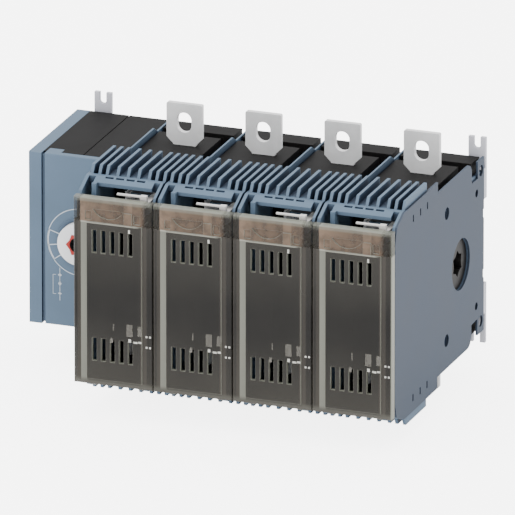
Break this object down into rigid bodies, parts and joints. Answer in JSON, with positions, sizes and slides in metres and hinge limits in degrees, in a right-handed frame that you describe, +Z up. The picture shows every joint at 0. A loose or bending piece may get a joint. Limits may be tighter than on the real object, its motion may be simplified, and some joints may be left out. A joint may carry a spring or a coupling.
{
  "type": "fuse switch disconnector",
  "caption": "Blue-grey modular fuse switch disconnector with finned poles, hinged smoke-tinted fuse covers, slotted terminal blades, a rotary mechanism at the left and rear feet.",
  "frame": {"origin": "centre of the four mounting feet, on the plane of their rear faces", "axes": "+X from the mechanism towards the last pole, +Y backwards into the mounting plate, so the covers face -Y, +Z up"},
  "size_m": [0.31, 0.2035, 0.1918],
  "materials": {
    "housing_blue_grey": "fine satin moulding",
    "base_black": "matt moulding",
    "cover_smoke": "clear smoke-tinted moulding",
    "latch_white": "satin moulding",
    "plated_copper": "silver plated",
    "shaft_steel": "zinc plated",
    "drive_plastic": "satin moulding",
    "disc_white": "satin moulding",
    "star_red": "satin moulding",
    "foot_grey": "satin moulding",
    "screw_steel": "zinc plated"
  },
  "bodies": {
    "unit": {"pole_housing_1": "housing_blue_grey", "pole_base_1": "base_black", "upper_terminal_1": "plated_copper", "lower_terminal_1": "plated_copper", "upper_jaw_1": "plated_copper", "lower_jaw_1": "plated_copper", "pole_housing_2": "housing_blue_grey", "pole_base_2": "base_black", "upper_terminal_2": "plated_copper", "lower_terminal_2": "plated_copper", "upper_jaw_2": "plated_copper", "lower_jaw_2": "plated_copper", "pole_housing_3": "housing_blue_grey", "pole_base_3": "base_black", "upper_terminal_3": "plated_copper", "lower_terminal_3": "plated_copper", "upper_jaw_3": "plated_copper", "lower_jaw_3": "plated_copper", "pole_housing_4": "housing_blue_grey", "pole_base_4": "base_black", "upper_terminal_4": "plated_copper", "lower_terminal_4": "plated_copper", "upper_jaw_4": "plated_copper", "lower_jaw_4": "plated_copper", "mechanism_side_plate": "housing_blue_grey", "mechanism_base": "base_black", "mechanism_cover": "housing_blue_grey", "end_plate": "housing_blue_grey", "tie_rods": "screw_steel", "foot_screws": "screw_steel", "upper_left_foot": "foot_grey", "lower_left_foot": "foot_grey", "upper_right_foot": "foot_grey", "lower_right_foot": "foot_grey"},
    "cover_1": {"fuse_cover_1": "cover_smoke"},
    "latch_1": {"cover_latch_1": "latch_white"},
    "cover_2": {"fuse_cover_2": "cover_smoke"},
    "latch_2": {"cover_latch_2": "latch_white"},
    "cover_3": {"fuse_cover_3": "cover_smoke"},
    "latch_3": {"cover_latch_3": "latch_white"},
    "cover_4": {"fuse_cover_4": "cover_smoke"},
    "latch_4": {"cover_latch_4": "latch_white"},
    "switch_shaft": {"main_shaft": "shaft_steel", "shaft_sector": "drive_plastic", "contact_rotor_1": "drive_plastic", "moving_contacts_1": "plated_copper", "contact_rotor_2": "drive_plastic", "moving_contacts_2": "plated_copper", "contact_rotor_3": "drive_plastic", "moving_contacts_3": "plated_copper", "contact_rotor_4": "drive_plastic", "moving_contacts_4": "plated_copper"},
    "spindle": {"drive_spindle": "shaft_steel", "drive_disc": "disc_white", "star_insert": "star_red", "spindle_pinion": "drive_plastic"},
    "slider": {"rack_slider": "drive_plastic"}
  },
  "joints": [
    {"name": "shaft_turn", "type": "hinge", "parent": "unit", "child": "switch_shaft", "pos_m": [0, -0.0575, 0], "axis": [1, 0, 0], "range_deg": [0, 30]},
    {"name": "spindle_turn", "type": "hinge", "parent": "unit", "child": "spindle", "pos_m": [-0.1205, -0.0985, 0], "axis": [0, 1, 0], "range_deg": [0, 90]},
    {"name": "slider_travel", "type": "slide", "parent": "unit", "child": "slider", "axis": [0, 0, -1], "range_m": [0, 0.01414]},
    {"name": "cover_1_hinge", "type": "hinge", "parent": "unit", "child": "cover_1", "pos_m": [-0.06, -0.192, -0.0715], "axis": [1, 0, 0], "range_deg": [0, 100]},
    {"name": "latch_1_slide", "type": "slide", "parent": "unit", "child": "latch_1", "axis": [-1, 0, 0], "range_m": [0, 0.004]},
    {"name": "cover_2_hinge", "type": "hinge", "parent": "unit", "child": "cover_2", "pos_m": [0, -0.192, -0.0715], "axis": [1, 0, 0], "range_deg": [0, 100]},
    {"name": "latch_2_slide", "type": "slide", "parent": "unit", "child": "latch_2", "axis": [-1, 0, 0], "range_m": [0, 0.004]},
    {"name": "cover_3_hinge", "type": "hinge", "parent": "unit", "child": "cover_3", "pos_m": [0.06, -0.192, -0.0715], "axis": [1, 0, 0], "range_deg": [0, 100]},
    {"name": "latch_3_slide", "type": "slide", "parent": "unit", "child": "latch_3", "axis": [-1, 0, 0], "range_m": [0, 0.004]},
    {"name": "cover_4_hinge", "type": "hinge", "parent": "unit", "child": "cover_4", "pos_m": [0.12, -0.192, -0.0715], "axis": [1, 0, 0], "range_deg": [0, 100]},
    {"name": "latch_4_slide", "type": "slide", "parent": "unit", "child": "latch_4", "axis": [-1, 0, 0], "range_m": [0, 0.004]}
  ],
  "couplings": [
    {"joint": "spindle_turn", "follows": "shaft_turn", "ratio": 3},
    {"joint": "slider_travel", "follows": "shaft_turn", "m_per_rad": 0.027}
  ]
}
